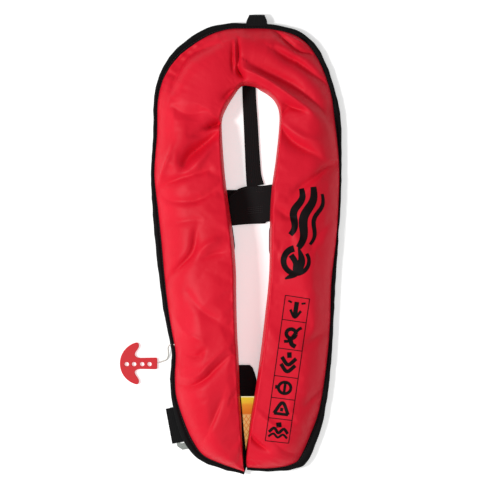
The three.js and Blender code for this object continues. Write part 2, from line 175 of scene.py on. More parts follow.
cord_data = bpy.data.curves.new("pull_cord_line", "CURVE")
cord_data.dimensions = "3D"
cord_data.bevel_depth = CORD_DIAMETER / 2
cord_data.bevel_resolution = 3
cord_data.resolution_u = 8
cord_data.use_fill_caps = True
cord_spline = cord_data.splines.new("BEZIER")
cord_spline.bezier_points.add(len(CORD_ROUTE) - 1)
for knot, point in zip(cord_spline.bezier_points, CORD_ROUTE):
    knot.co = Vector(point) * MM
    knot.handle_left_type = knot.handle_right_type = "AUTO"
pull_cord = bpy.data.objects.new("pull_cord_line", cord_data)
scene.collection.objects.link(pull_cord)
finish_piece(pull_cord, braid, body="pull", replaces=["pull_cord"])


# --- Back panel -------------------------------------------------------------------------------
# Black coated polyester that closes the jacket behind. It is cut to the whole horseshoe, so the
# cross sections of the jacket are set down here: the rim, the neck edge, how thick the packed
# lobe is and how wide the bound edge looks from the front.
# (rim x, rim y, neck x, neck y, lobe thickness, binding width), in mm, from the left tip round.
SECTIONS = [
    (-3, -313, -4, -301, 14, 6), (-36, -305, -5, -279, 26, 9), (-62, -294, -6, -255, 33, 10),
    (-80, -277, -7, -232, 38, 13), (-93, -250, -8.5, -207, 41, 13), (-102, -210, -9.5, -178, 46, 9),
    (-104, -180, -10.5, -150, 46, 8.5), (-102, -148, -12, -125, 46, 7.5),
    (-108, -116, -13, -95, 46, 8), (-114, -84, -13.5, -68, 46, 9), (-119, -45, -14, -35, 45, 9.5),
    (-124, 0, -17, 3, 43, 10.5), (-128, 47, -23, 48, 41, 9.5), (-130, 95, -29, 95, 38, 6.5),
    (-127, 150, -33, 150, 36, 7), (-126, 198, -32.5, 171, 35, 7.5), (-117, 234, -26, 187, 34, 8.5),
    (-96, 266, -17.5, 201, 33, 10.5), (-60, 292, -10.5, 211, 32, 12), (-28, 301, -4.5, 216, 32, 10),
    (2, 301.5, 2, 216, 32, 9), (36, 300, 12, 214, 32, 8.5), (69, 292, 20, 209, 33, 9),
    (92, 275, 30, 203, 33, 9.5), (108, 249, 39, 194, 34, 9), (121, 210, 44.5, 180, 35, 8),
    (129, 170, 44.5, 158, 37, 10), (130, 110, 40, 115, 38, 5), (129, 60, 34, 70, 39, 4.5),
    (126, 10, 32, 20, 39, 4.5), (122, -50, 31, -40, 39, 7.5), (119, -110, 25, -100, 39, 6.5),
    (115, -170, 18, -158, 39, 8), (108, -225, 11, -205, 38, 10), (98, -263, 6, -235, 36, 13),
    (82, -297, 3, -258, 32, 13), (62, -306.5, 1, -275, 26, 9), (32, -309, 0, -285, 18, 6.5),
    (1, -307, -0.4, -293.5, 11, 5.5),
]
PANEL_LOW = 5.0
PANEL_HIGH = 6.4
ALONG = 760


def smooth_line(points, count):
    """A Catmull-Rom curve through the points, as evenly numbered points along it."""
    knots = np.asarray(points, float)
    padded = np.vstack([2 * knots[0] - knots[1], knots, 2 * knots[-1] - knots[-2]])
    places = np.linspace(0, len(knots) - 1, count)
    first = np.minimum(places.astype(int), len(knots) - 2)
    t = (places - first)[:, None]
    a, b, c, d = (padded[first + k] for k in range(4))
    return 0.5 * (2 * b + (c - a) * t + (2 * a - 5 * b + 4 * c - d) * t**2 + (3 * b - a - 3 * c + d) * t**3)


def smooth_step(value, low, high):
    t = np.clip((value - low) / (high - low), 0, 1)
    return t * t * (3 - 2 * t)


def side_normals(line):
    """Unit normals to the right of a line, in plan."""
    run = np.gradient(line[:, :2], axis=0)
    run /= np.linalg.norm(run, axis=1)[:, None]
    return np.column_stack([run[:, 1], -run[:, 0]])


def soft_noise(points, size, seed=0.0):
    """Smooth noise between about -1 and 1, with features of the given size in mm."""
    return np.array([noise.noise((p[0] / size + seed, p[1] / size - seed, seed)) for p in points])


def grid_faces(rows, columns, wrap=False, start=0):
    """Quads of a grid of points, row by row; wrap joins the last column to the first."""
    faces = []
    for r in range(rows - 1):
        for c in range(columns if wrap else columns - 1):
            a, b = r * columns + c, r * columns + (c + 1) % columns
            faces.append((start + a, start + b, start + b + columns, start + a + columns))
    return faces


def grid_piece(name, grid, wrap=False, caps=False):
    """A piece from a grid of points in mm. Its UV map runs along and across the grid in metres."""
    grid = np.asarray(grid, float) * MM
    rows, columns, _ = grid.shape
    faces = grid_faces(rows, columns, wrap)
    if caps:
        faces.append(tuple(range(columns)))
        faces.append(tuple(rows * columns - 1 - c for c in range(columns)))
    piece = mesh_piece(name, grid.reshape(-1, 3), faces)
    steps_along = np.linalg.norm(np.diff(grid[:, columns // 2], axis=0), axis=1)
    along = np.concatenate([[0], np.cumsum(steps_along)])
    steps_across = np.linalg.norm(np.diff(grid[rows // 2], axis=0), axis=1)
    across = np.concatenate([[0], np.cumsum(steps_across)])
    layer = piece.data.uv_layers.new(name="UVMap")
    for loop in piece.data.loops:
        row, column = divmod(loop.vertex_index, columns)
        layer.data[loop.index].uv = (along[row], across[column])
    return piece


def outward(piece):
    """Turns a closed mesh's faces so that they look outwards."""
    mesh = bmesh.new()
    mesh.from_mesh(piece.data)
    bmesh.ops.recalc_face_normals(mesh, faces=mesh.faces)
    mesh.to_mesh(piece.data)
    mesh.free()
    return piece


def upward(piece):
    """Turns an open mesh's faces so that most of them look up."""
    if sum(face.normal.z * face.area for face in piece.data.polygons) < 0:
        piece.data.flip_normals()
    return piece


def tube_grid(top, bottom):
    """A closed sleeve from the rows of an upper sheet and the rows of a lower one."""
    return np.concatenate([top, bottom[:, ::-1]], axis=1)


stations = smooth_line(SECTIONS, ALONG)
rim_line = stations[:, 0:2]
neck_line = stations[:, 2:4]
lobe_thickness = stations[:, 4]
binding_width = stations[:, 5]
rim_normal = side_normals(rim_line)
neck_normal = -side_normals(neck_line)


def band_rows(near, far, columns):
    """Plan points between the rim moved in by near and the neck edge moved in by far."""
    outer = rim_line + rim_normal * np.reshape(near, (-1, 1))
    inner = neck_line + neck_normal * np.reshape(far, (-1, 1))
    shares = np.linspace(0, 1, columns)[None, :, None]
    return outer[:, None, :] * (1 - shares) + inner[:, None, :] * shares


def level(plan, height):
    """Plan points with a height, as a grid of points in space."""
    heights = np.broadcast_to(height, plan.shape[:2])
    return np.dstack([plan, heights])


# A wave texture repeats about every 0.314 units of its coordinate at scale 1.
WAVE_REPEAT = 0.314


def fabric(name, base, roughness, thread, depth, **sockets):
    """A woven cloth: crossed threads of a size in mm, as a fine bump."""
    made, shader = material(name, base, roughness, **sockets)
    place = add(made, "ShaderNodeTexCoord").outputs["Object"]
    waves = []
    for direction in ("X", "Y"):
        scale = WAVE_REPEAT / (thread * MM)
        wave = add(made, "ShaderNodeTexWave", {"Vector": place, "Scale": scale}, bands_direction=direction)
        waves.append(wave.outputs["Fac"])
    weave = add(made, "ShaderNodeMath", {0: waves[0], 1: waves[1]}, operation="MULTIPLY")
    bump = add(made, "ShaderNodeBump",
               {"Height": weave.outputs[0], "Strength": depth, "Distance": thread * MM / 3})
    link(made, bump.outputs[0], shader.inputs["Normal"])
    return made, shader, place


black_polyester = fabric("black_polyester", "#0B0B0C", 0.75, 0.5, 0.4, Specular_IOR_Level=0.25)[0]

# The panel shows as a thin black line past the cover beside the neck, and closes the slit at the
# bottom between the lobe tips: (neck-edge y, how far it shows) down each lobe, in mm.
LEFT_SHOWS = [(-320, 5.5), (-275, 4.2), (-250, 2.6), (-206, 1.2), (-190, -2.5), (-20, -2.5),
              (-2, 1.2), (24, 1.0), (40, -2.5)]
RIGHT_SHOWS = [(-300, 1.6), (-270, 0.8), (-250, -2), (-24, -2.5), (-8, 1.0), (20, 1.0), (34, -2.5)]
shows = np.zeros(ALONG)
for lobe_half, reach in ((slice(0, ALONG // 2), LEFT_SHOWS), (slice(ALONG // 2, ALONG), RIGHT_SHOWS)):
    shows[lobe_half] = np.interp(neck_line[lobe_half, 1], *zip(*reach))
PANEL_INSET = 1.0
PANEL_COLUMNS = 8
PANEL_WAVE = 0.25
panel_plan = band_rows(PANEL_INSET, -shows, PANEL_COLUMNS)
panel_wave = soft_noise(panel_plan.reshape(-1, 2), 40, 3.1).reshape(panel_plan.shape[:2]) * PANEL_WAVE
panel_top = level(panel_plan, PANEL_HIGH + panel_wave)
panel_under = level(panel_plan, PANEL_LOW + panel_wave)
back_panel = outward(grid_piece("back_panel", tube_grid(panel_top, panel_under), wrap=True, caps=True))
finish_piece(back_panel, black_polyester, replaces=["back_cover"])


# --- Closure tape -----------------------------------------------------------------------------
# Hook-and-loop tape under the binding, which lets the cover burst open as the bladder fills: the
# loop half on the back panel, and the hook half under the edge of the cover.
closure_tape, closure_shader = material("hook_and_loop_tape", "#121213", 0.95, Sheen_Weight=0.4)
pile = add(closure_tape, "ShaderNodeTexNoise", {"Scale": 2500.0, "Detail": 3.0})
place = add(closure_tape, "ShaderNodeTexCoord").outputs["Object"]
link(closure_tape, place, pile.inputs["Vector"])
pile_bump = add(closure_tape, "ShaderNodeBump",
                {"Height": pile.outputs[0], "Strength": 0.8, "Distance": 0.0004})
link(closure_tape, pile_bump.outputs[0], closure_shader.inputs["Normal"])


def rim_strip(name, near, far, low, high):
    """A flat strip that follows the rim, between two insets and two heights."""
    insets = np.linspace(near, far, 4)
    plan = rim_line[:, None, :] + rim_normal[:, None, :] * insets[None, :, None]
    return outward(grid_piece(name, tube_grid(level(plan, high), level(plan, low)), wrap=True, caps=True))


TAPE_NEAR, TAPE_FAR = 1.5, 6.5
TAPE_THICKNESS = 0.5
for half, low in [("loop", 6.9), ("hook", 7.7)]:
    strip = rim_strip(f"closure_{half}_tape", TAPE_NEAR, TAPE_FAR, low, low + TAPE_THICKNESS)
    finish_piece(strip, closure_tape, replaces=[f"closure_{half}_strip"])


# --- Front cover ------------------------------------------------------------------------------
# Red coated nylon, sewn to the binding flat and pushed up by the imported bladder, so that it
# stands full along the neck edge and is drawn into tucks where the cloth has nowhere to go.
COVER_LOW = 7.0
COLUMNS = 60
COVER_RAISE = 1.5
COVER_TUCKED_IN = 2.0
# How much the broad waves, the fine waves, the folds and the two rows of tucks add, in mm.
BROAD_WAVE = 2.2
FINE_WAVE = 0.55
FOLD_GAIN = 2.7
RIM_TUCK = 2.2
NECK_TUCK = 1.6
# The cloth is light and slack, and a little air in the folded bladder lifts it between its seams.
CLOTH_ROWS, CLOTH_COLUMNS = 330, 26
CLOTH_GROWTH = 0.02
CLOTH_PRESSURE = 0.15
CLOTH_BENDING = 0.4
CLOTH_STRETCH = 12
CLOTH_QUALITY = 6
CLOTH_FRAMES = 20
MEAN_RISE = 1.0
MOST_SUNK = 0.8
MOST_RISEN = 3.0
# (points along the fold in mm, height, width on its left, width on its right): a negative height
# is a groove. Left and right are as seen looking along the points.
FOLDS = [
    # Left lobe and neck.
    ([(-10.7, 278), (-10.5, 258), (-10.7, 239)], -2.6, 2.4, 3.0),
    ([(-18, 271), (-18.6, 250), (-18, 232)], -2.2, 3.0, 2.2),
    ([(-15, 275), (-15, 255), (-14.5, 235)], 1.6, 2.2, 2.2),
    ([(-13, 240), (-9, 232), (-3, 225)], -5.0, 3.0, 3.5),
    ([(-102, 205), (-94, 232), (-75, 258), (-37, 272)], -5.5, 12.0, 8.0),
    ([(-31, 196), (-22, 205), (-12, 212)], -2.4, 3.0, 4.0),
    ([(-33, 169.5), (-35, 164), (-52, 157)], -7.0, 3.0, 6.0),
    ([(-46, 160), (-60, 150), (-72, 146)], -2.0, 4.0, 6.0),
    ([(-38, 152), (-56, 136), (-77, 118.5), (-85, 102)], -7.5, 9.0, 10.0),
    ([(-40, 138), (-56, 120), (-70, 104)], 2.4, 6.0, 9.0),
    ([(-99.7, 131), (-110, 107), (-120, 82)], 3.0, 6.0, 4.0),
    ([(-122, 75), (-108, 82), (-82, 91), (-51, 100)], -2.4, 5.0, 5.0),
    ([(-119.5, 70.6), (-103, 59), (-78, 57), (-56, 63), (-36, 81)], -1.6, 8.0, 4.0),
    ([(-67.5, 19), (-71.6, -8), (-86, -26), (-108, -47)], -3.4, 6.0, 4.0),
    ([(-63, -10), (-50, 1), (-35, 8)], 2.0, 4.0, 7.0),
    ([(-60, -20), (-45, -13), (-30, -10)], -1.4, 4.0, 5.0),
    ([(-23.5, -149), (-43, -168), (-53.4, -178.7), (-71.6, -189), (-94, -189)], -2.4, 4.5, 3.5),
    ([(-30, -141), (-50, -160), (-68, -177), (-90, -178)], 1.6, 5.0, 5.0),
    ([(-56, -142), (-66, -150), (-80, -148)], -2.2, 4.0, 5.0),
    ([(-31.6, -205), (-43, -233), (-53, -256)], -1.8, 3.0, 8.0),
    ([(-82, -60), (-60, -88), (-34, -104)], -1.4, 6.0, 8.0),
    ([(-98, -95), (-84, -116), (-60, -128)], 1.4, 5.0, 6.0),
    ([(-112, 20), (-90, 30), (-60, 34)], -1.2, 7.0, 7.0),
    ([(-100, 186), (-80, 176), (-58, 178)], -1.6, 8.0, 8.0),
    # Right lobe and neck.
    ([(40, 290), (56, 274), (72, 262), (92, 259)], -3.4, 3.0, 4.0),
    ([(52, 286), (73, 275), (90, 270)], 2.0, 3.5, 3.0),
    ([(38, 264), (55, 254), (72, 245.6), (107, 219)], -5.0, 4.0, 9.0),
    ([(-3, 236), (18, 226), (40, 213), (64, 196), (88, 178)], 4.4, 6.0, 8.0),
    ([(6, 244), (34, 230), (65, 214), (90, 194), (111, 170)], -4.6, 12.0, 6.0),
    ([(50, 191), (64, 184), (79, 179)], -3.0, 3.0, 4.0),
    ([(46, 171), (51, 179), (57, 184)], -1.6, 2.5, 3.0),
    ([(46, 160), (63.6, 139), (98, 119)], -3.6, 4.0, 8.0),
    ([(58, 156), (78, 143), (102, 138)], 1.6, 6.0, 6.0),
    ([(123, 110), (106.5, 102.8), (92, 90.5), (67, 72)], -3.2, 6.0, 4.0),
    ([(104, 92), (92, 80), (76, 66)], 1.4, 4.0, 6.0),
    ([(42, 48), (54, 39), (70, 36)], -1.4, 5.0, 5.0),
    ([(114, 30), (96, 12), (86, -10)], -1.2, 5.0, 7.0),
    ([(110, -118), (97.6, -123.6), (84, -134)], -1.6, 4.0, 5.0),
    ([(106, -196), (94, -203), (80, -216)], -1.8, 4.0, 5.0),
    ([(4, -255), (15, -267), (28, -276)], -3.0, 3.0, 4.0),
    ([(34, -262), (56, -280), (80, -284)], -1.8, 6.0, 6.0),
    ([(22, -232), (40, -244), (62, -246)], 1.2, 6.0, 6.0),
]


def fold_height(plan):
    """How far the folds lift or sink the cloth at plan points, in mm."""
    total = np.zeros(len(plan))
    for points, height, left, right in FOLDS:
        line = smooth_line(points, 14)
        best = np.full(len(plan), 1e9)
        share = np.zeros(len(plan))
        turn = np.zeros(len(plan))
        for k in range(len(line) - 1):
            run = line[k + 1] - line[k]
            offset = plan - line[k]
            t = np.clip(offset @ run / (run @ run), 0, 1)
            gap = offset - t[:, None] * run
            distance = np.hypot(gap[:, 0], gap[:, 1])
            nearer = distance < best
            best = np.where(nearer, distance, best)
            share = np.where(nearer, (k + t) / (len(line) - 1), share)
            turn = np.where(nearer, run[0] * offset[:, 1] - run[1] * offset[:, 0], turn)
        width = np.where(turn > 0, left, right)
        taper = np.clip(np.sin(math.pi * np.clip(0.06 + 0.88 * share, 0, 1)), 0, 1) ** 0.6
        # A crease is sharp at its bottom and opens out smoothly.
        reach = best / width
        total += height * taper * np.exp(-(reach**1.25))
    return total


def lobe_profile(share, rim_power=2.0, neck_power=2.0, neck_share=0.05):
    """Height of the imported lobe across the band: a long rise from the rim, a steep neck edge."""
    rise = np.clip(1 - share / 0.5, 0, 1) ** rim_power
    fall = np.clip(1 - (1 - share) / neck_share, 0, 1) ** neck_power
    return np.clip(1 - rise, 0, 1) ** 0.75 * np.sqrt(np.clip(1 - fall, 0, 1))


across = 0.5 - 0.5 * np.cos(math.pi * np.linspace(0, 1, COLUMNS) ** 1.02)
cover_inset = binding_width - COVER_TUCKED_IN
outer = rim_line + rim_normal * cover_inset[:, None]
cover_plan = outer[:, None, :] * (1 - across)[None, :, None] + neck_line[:, None, :] * across[None, :, None]
flat_plan = cover_plan.reshape(-1, 2)
lift = lobe_profile(across)[None, :] * (lobe_thickness[:, None] - 2)
span = np.linalg.norm(neck_line - outer, axis=1)[:, None]
from_rim = across[None, :] * span
from_neck = (1 - across)[None, :] * span

rim_length = np.concatenate([[0], np.cumsum(np.linalg.norm(np.diff(rim_line, axis=0), axis=1))])
neck_length = np.concatenate([[0], np.cumsum(np.linalg.norm(np.diff(neck_line, axis=0), axis=1))])


def pucker(lengths, distance, pitch, seed):
    """Small tucks that run in from a seam, a pitch apart, and die out with distance from it."""
    return np.array([[noise.noise((s / pitch, d / 42, seed)) for d in row]
                     for s, row in zip(lengths, distance)])


rim_tucks = pucker(rim_length, from_rim, 9.0, 1.7)
rim_tucks *= np.exp(-from_rim / 17) * smooth_step(from_rim, 0, 4)
neck_tucks = pucker(neck_length, from_neck, 13.0, 6.3)
neck_tucks *= np.exp(-from_neck / 14) * smooth_step(from_neck, 1, 6)
broad = soft_noise(flat_plan, 62, 5.2).reshape(lift.shape)
warp = np.column_stack([soft_noise(flat_plan, 48, 9.4), soft_noise(flat_plan, 48, 2.6)]) * 16
fine = soft_noise(flat_plan + warp, 24, 4.4).reshape(lift.shape)
fade = smooth_step(from_rim, 0, 14) * smooth_step(from_neck, 0, 9)
folds = fold_height(flat_plan).reshape(lift.shape)
edge_fade = smooth_step(from_rim, -2, 7) * smooth_step(from_neck, -1, 5)
height = COVER_LOW + COVER_RAISE + lift + (BROAD_WAVE * broad + FINE_WAVE * fine) * fade
height += FOLD_GAIN * folds * edge_fade + RIM_TUCK * rim_tucks + NECK_TUCK * neck_tucks


def buckled(grid):
    """How far a cloth of this shape rises, in mm, when it is cut a little larger than its seams.

    A coarser copy of the grid is held all round its edge and settled as cloth.
    """
    rows, columns = CLOTH_ROWS, CLOTH_COLUMNS
    row_picks = np.linspace(0, grid.shape[0] - 1, rows).astype(int)
    column_picks = np.linspace(0, grid.shape[1] - 1, columns).astype(int)
    before = grid[np.ix_(row_picks, column_picks)]
    cloth = grid_piece("cover_trial", before)
    seams = cloth.vertex_groups.new(name="seams")
    numbers = np.arange(rows * columns).reshape(rows, columns)
    edge = np.concatenate([numbers[:, 0], numbers[:, -1], numbers[0], numbers[-1]])
    seams.add([int(number) for number in edge], 1.0, "REPLACE")
    settings = cloth.modifiers.new("cloth", "CLOTH").settings
    settings.vertex_group_mass = "seams"
    settings.shrink_min = -CLOTH_GROWTH
    settings.use_pressure = True
    settings.uniform_pressure_force = CLOTH_PRESSURE
    settings.bending_stiffness = CLOTH_BENDING
    settings.tension_stiffness = CLOTH_STRETCH
    settings.compression_stiffness = CLOTH_STRETCH
    settings.shear_stiffness = CLOTH_STRETCH
    settings.quality = CLOTH_QUALITY
    settings.effector_weights.gravity = 0
    for frame_number in range(1, CLOTH_FRAMES + 1):
        scene.frame_set(frame_number)
    settled = cloth.evaluated_get(bpy.context.evaluated_depsgraph_get()).to_mesh()
    after = np.array([vertex.co.z for vertex in settled.vertices]).reshape(rows, columns) / MM
    bpy.data.objects.remove(cloth)
    scene.frame_set(1)
    risen = after - before[:, :, 2]
    all_rows, all_columns = np.arange(grid.shape[0]), np.arange(grid.shape[1])
    widened = np.array([np.interp(all_columns, column_picks, row) for row in risen])
    return np.array([np.interp(all_rows, row_picks, column) for column in widened.T]).T


risen = buckled(np.dstack([cover_plan, height]))
height += np.clip(risen - MEAN_RISE, -MOST_SUNK, MOST_RISEN) * edge_fade
cover_grid = np.dstack([cover_plan, height])
# The neck edge is turned down and tucked back under the lobe; the rim edge runs under the tape.
tuck = []
TUCK_LOW = COVER_LOW - 1.5
for inward, share_down in [(0.8, 0.213), (2.6, 0.511), (4.6, 0.809), (6.6, 0.979), (10.0, 1.0)]:
    plan = neck_line + neck_normal * inward
    tuck.append(np.column_stack([plan, height[:, -1] - share_down * (height[:, -1] - TUCK_LOW)]))
cover_grid = np.concatenate([cover_grid, np.stack(tuck, axis=1)], axis=1)

front_cover = upward(grid_piece("front_cover_cloth", cover_grid))

red_nylon, nylon_shader, place = fabric(
    "coated_red_nylon", "#DA1228", 0.5, 0.45, 0.10, Specular_IOR_Level=0.16)
cloud = add(red_nylon, "ShaderNodeTexNoise", {"Vector": place, "Scale": 14.0, "Detail": 3.0})
nylon_tone = ramp(red_nylon, cloud.outputs[0], [(0.3, "#DA122A"), (0.7, "#E41831")])
link(red_nylon, nylon_tone.outputs[0], nylon_shader.inputs["Base Color"])
crinkle = add(red_nylon, "ShaderNodeTexNoise", {"Vector": place, "Scale": 160.0, "Detail": 4.0})
crinkle_bump = add(red_nylon, "ShaderNodeBump",
                   {"Height": crinkle.outputs[0], "Strength": 0.25, "Distance": 0.0012})
weave_bump = nylon_shader.inputs["Normal"].links[0].from_node
link(red_nylon, crinkle_bump.outputs[0], weave_bump.inputs["Normal"])
finish_piece(front_cover, red_nylon, replaces=["front_cover_left", "front_cover_right"])


# --- Edge binding -----------------------------------------------------------------------------
# Black nylon tape folded round the rim over the cover, the closure and the back panel, and sewn
# through with one row of stitches near its inner edge.
binding_tape = fabric("black_binding_tape", "#060607", 0.65, 0.8, 0.5, Specular_IOR_Level=0.14)[0]

BINDING_PROFILE = [
    # (share of the width from the rim, height in mm)
    (1.0, 8.6), (0.97, 10.2), (0.9, 11.0), (0.8, 11.1), (0.72, 10.6), (0.62, 11.6), (0.4, 12.2),
    (0.18, 11.8), (0.05, 10.7), (0.0, 9.0), (0.04, 7.2), (0.14, 5.6), (0.4, 4.8), (0.7, 4.7),
    (0.95, 4.8),
]
outline_wobble = np.abs([noise.noise((s / 24, 0.0, 8.8)) for s in rim_length]) * 1.4
# Only the upper face ripples.
BINDING_MIDDLE = 8
binding_rows = []
for share, rise in BINDING_PROFILE:
    plan = rim_line + rim_normal * (outline_wobble + share * (binding_width - outline_wobble))[:, None]
    ripple = np.array([noise.noise((s / 8, share * 2, 4.0)) for s in rim_length]) * 0.55
    binding_rows.append(np.column_stack([plan, rise + ripple * (rise > BINDING_MIDDLE)]))
binding = outward(grid_piece("edge_binding_tape", np.stack(binding_rows, axis=1), wrap=True, caps=True))
finish_piece(binding, binding_tape, replaces=["edge_binding"])


def stitches(name, line, pitch, length, radius, look, body="jacket"):
    """A row of sewn stitches along a line of points in mm: a small bent bar for each stitch."""
    steps = np.concatenate([[0], np.cumsum(np.linalg.norm(np.diff(line, axis=0), axis=1))])
    points, faces = [], []
    for start in np.arange(0, steps[-1] - length, pitch):
        ends = [np.array([np.interp(s, steps, line[:, axis]) for axis in range(3)])
                for s in (start, start + length / 2, start + length)]
        run = (ends[2] - ends[0]) / np.linalg.norm(ends[2] - ends[0])
        side = np.cross(run, (0, 0, 1))
        base = len(points)
        for centre, rise, size in zip(ends, (-radius, radius * 0.7, -radius), (0.7, 1.0, 0.7)):
            for k in range(6):
                angle = k * math.pi / 3
                ring = side * math.cos(angle) + np.array((0, 0, 1)) * math.sin(angle)
                points.append((centre + (0, 0, rise) + ring * radius * size) * MM)
        faces += grid_faces(3, 6, wrap=True, start=base)
        faces += [tuple(base + 5 - k for k in range(6)), tuple(base + 12 + k for k in range(6))]
    piece = outward(mesh_piece(name, points, faces))
    finish_piece(piece, look, body=body)
    return piece


thread, thread_shader = material("black_thread", "#232325", 0.55)
twist = add(thread, "ShaderNodeTexWave", {"Scale": 900.0}, bands_direction="DIAGONAL")
link(thread, add(thread, "ShaderNodeTexCoord").outputs["Object"], twist.inputs["Vector"])
twist_bump = add(thread, "ShaderNodeBump",
                 {"Height": twist.outputs["Fac"], "Strength": 0.4, "Distance": 0.0001})
link(thread, twist_bump.outputs[0], thread_shader.inputs["Normal"])

SEAM_SHARE = 0.76
SEAM_HEIGHT = 11.0
seam_plan = rim_line + rim_normal * (SEAM_SHARE * binding_width)[:, None]
seam_line = np.column_stack([seam_plan, np.full(ALONG, SEAM_HEIGHT)])[4:-4]
stitches("binding_stitches", seam_line, pitch=4.0, length=2.9, radius=0.32, look=thread)


# --- Prints on the right lobe -----------------------------------------------------------------
# Black screen print on the cover: a round mark with three slanted wavy bars, and a strip of six
# framed pictures below it. Each line is laid on the cloth as a thin film.
INK_LIFT = 0.35
cover_inverse = front_cover.matrix_world.inverted()


def on_cover(x, y):
    """The point of the front cover above a plan point in mm, lifted by the thickness of ink."""
    start = cover_inverse @ Vector((x * MM, y * MM, 0.2))
    hit, place, _, _ = front_cover.ray_cast(start, Vector((0, 0, -1)))
    return place + Vector((0, 0, INK_LIFT * MM)) if hit else Vector((x, y, 30)) * MM


ink_points, ink_faces = [], []


def print_stroke(points, width, step=1.6):
    """A printed line through plan points in mm; its width is a number or a function of its share."""
    knots = np.asarray(points, float)
    run = np.linalg.norm(np.diff(knots, axis=0), axis=1).sum()
    rows = max(4, int(run / step))
    line = smooth_line(knots, rows)
    sides = side_normals(line)
    widest = max(width(k / (rows - 1)) if callable(width) else width for k in range(rows))
    columns = max(2, int(widest / step) + 2)
    start = len(ink_points)
    for row in range(rows):
        half = (width(row / (rows - 1)) if callable(width) else width) / 2
        for column in range(columns):
            shift = sides[row] * half * (2 * column / (columns - 1) - 1)
            ink_points.append(on_cover(*(line[row] + shift)))
    ink_faces.extend(grid_faces(rows, columns, start=start))


def circle_points(x, y, radius, start=0, stop=360, count=20):
    angles = np.radians(np.linspace(start, stop, count))
    return [(x + radius * math.cos(a), y + radius * math.sin(a)) for a in angles]


# Three wavy bars, side by side, slanting up the lobe: (offset, length, low end, width) in mm.
BARS = [(-15, 64, 22, 10), (0, 84, 8, 12), (14, 70, 16, 6)]
BAR_START = np.array([68.0, -12.0])
BAR_LEAN = math.radians(14.5)
BAR_WAVE = 3.2
bar_run = np.array([math.sin(BAR_LEAN), math.cos(BAR_LEAN)])
bar_side = np.array([bar_run[1], -bar_run[0]])
for offset, length, low, width in BARS:
    base = BAR_START + bar_side * offset + bar_run * low
    wave = [base + bar_run * length * t + bar_side * BAR_WAVE * math.sin(3.1 * math.pi * t)
            for t in np.linspace(0, 1, 12)]
    print_stroke(wave, lambda t, w=width: w * (0.45 + 0.55 * math.sin(math.pi * (0.12 + 0.76 * t))))
# Round mark: a ring with a swept blade through it.
print_stroke(circle_points(67, -22, 17, 100, 395), lambda t: 9 - 4.5 * t)
print_stroke([(52, -46), (66, -38), (74, -22), (70, -4)], lambda t: 2 + 9 * math.sin(math.pi * t))
print_stroke([(60, -14), (66, -24), (66, -34)], 7.5)

# Strip of pictures: a frame with thin dividing lines, drawn between its left and right edges.
LEFT_EDGE = [(52.5, -68), (25.5, -263.5)]
RIGHT_EDGE = [(85, -73), (57, -267)]
DIVISIONS = [0, 0.165, 0.36, 0.55, 0.70, 0.84, 1]


def in_strip(share_across, share_down):
    left = np.add(LEFT_EDGE[0], np.subtract(LEFT_EDGE[1], LEFT_EDGE[0]) * share_down)
    right = np.add(RIGHT_EDGE[0], np.subtract(RIGHT_EDGE[1], RIGHT_EDGE[0]) * share_down)
    return left + (right - left) * share_across


FRAME_LINE = 1.0
for share in (0, 1):
    print_stroke([in_strip(share, t) for t in np.linspace(0, 1, 8)], FRAME_LINE)
for share in DIVISIONS:
    print_stroke([in_strip(t, share) for t in (0, 0.5, 1)], FRAME_LINE)


def picture(index, strokes):
    """Draws strokes given in shares of one picture's frame, with widths in mm."""
    top, bottom = DIVISIONS[index], DIVISIONS[index + 1]
    for points, width in strokes:
        print_stroke([in_strip(x, top + (bottom - top) * y) for x, y in points], width)


def ring_shares(x, y, radius_x, radius_y):
    return [(x + radius_x * math.cos(a), y + radius_y * math.sin(a)) for a in np.linspace(0, 6.3, 14)]


picture(0, [([(0.5, 0.2), (0.5, 0.5), (0.5, 0.85)], 6), ([(0.28, 0.55), (0.5, 0.85), (0.72, 0.55)], 3.4),
            ([(0.15, 0.2), (0.3, 0.25)], 2.5), ([(0.7, 0.25), (0.86, 0.2)], 2.5)])
picture(1, [(ring_shares(0.45, 0.45, 0.2, 0.16), 5), ([(0.45, 0.62), (0.52, 0.8), (0.7, 0.88)], 6),
            ([(0.2, 0.75), (0.42, 0.68), (0.7, 0.3), (0.85, 0.2)], 4)])
picture(2, [([(0.2, 0.3), (0.5, 0.55), (0.8, 0.3)], 5), ([(0.2, 0.55), (0.5, 0.8), (0.8, 0.55)], 5),
            ([(0.48, 0.1), (0.52, 0.3)], 6)])
picture(3, [(ring_shares(0.5, 0.5, 0.26, 0.26), 4), ([(0.5, 0.2), (0.5, 0.8)], 3.5),
            ([(0.1, 0.5), (0.3, 0.5)], 5)])
picture(4, [([(0.2, 0.75), (0.5, 0.2), (0.8, 0.75)], 4.5), ([(0.2, 0.75), (0.8, 0.75)], 4),
            ([(0.5, 0.45), (0.5, 0.62)], 4)])
picture(5, [([(0.1, 0.6), (0.3, 0.4), (0.5, 0.6), (0.7, 0.4), (0.9, 0.6)], 4),
            ([(0.1, 0.8), (0.3, 0.65), (0.5, 0.8), (0.7, 0.65), (0.9, 0.8)], 3),
            ([(0.45, 0.15), (0.5, 0.35)], 7)])

ink, ink_shader = material("screen_print_ink", "#0B0707", 0.6, Specular_IOR_Level=0.12)
ink_grain = add(ink, "ShaderNodeTexNoise", {"Scale": 1200.0, "Detail": 2.0})
link(ink, add(ink, "ShaderNodeTexCoord").outputs["Object"], ink_grain.inputs["Vector"])
ink_tone = ramp(ink, ink_grain.outputs[0], [(0.25, "#1C090B"), (0.55, "#0B0708")])
link(ink, ink_tone.outputs[0], ink_shader.inputs["Base Color"])
prints = upward(mesh_piece("printed_marks", ink_points, ink_faces))
finish_piece(prints, ink)


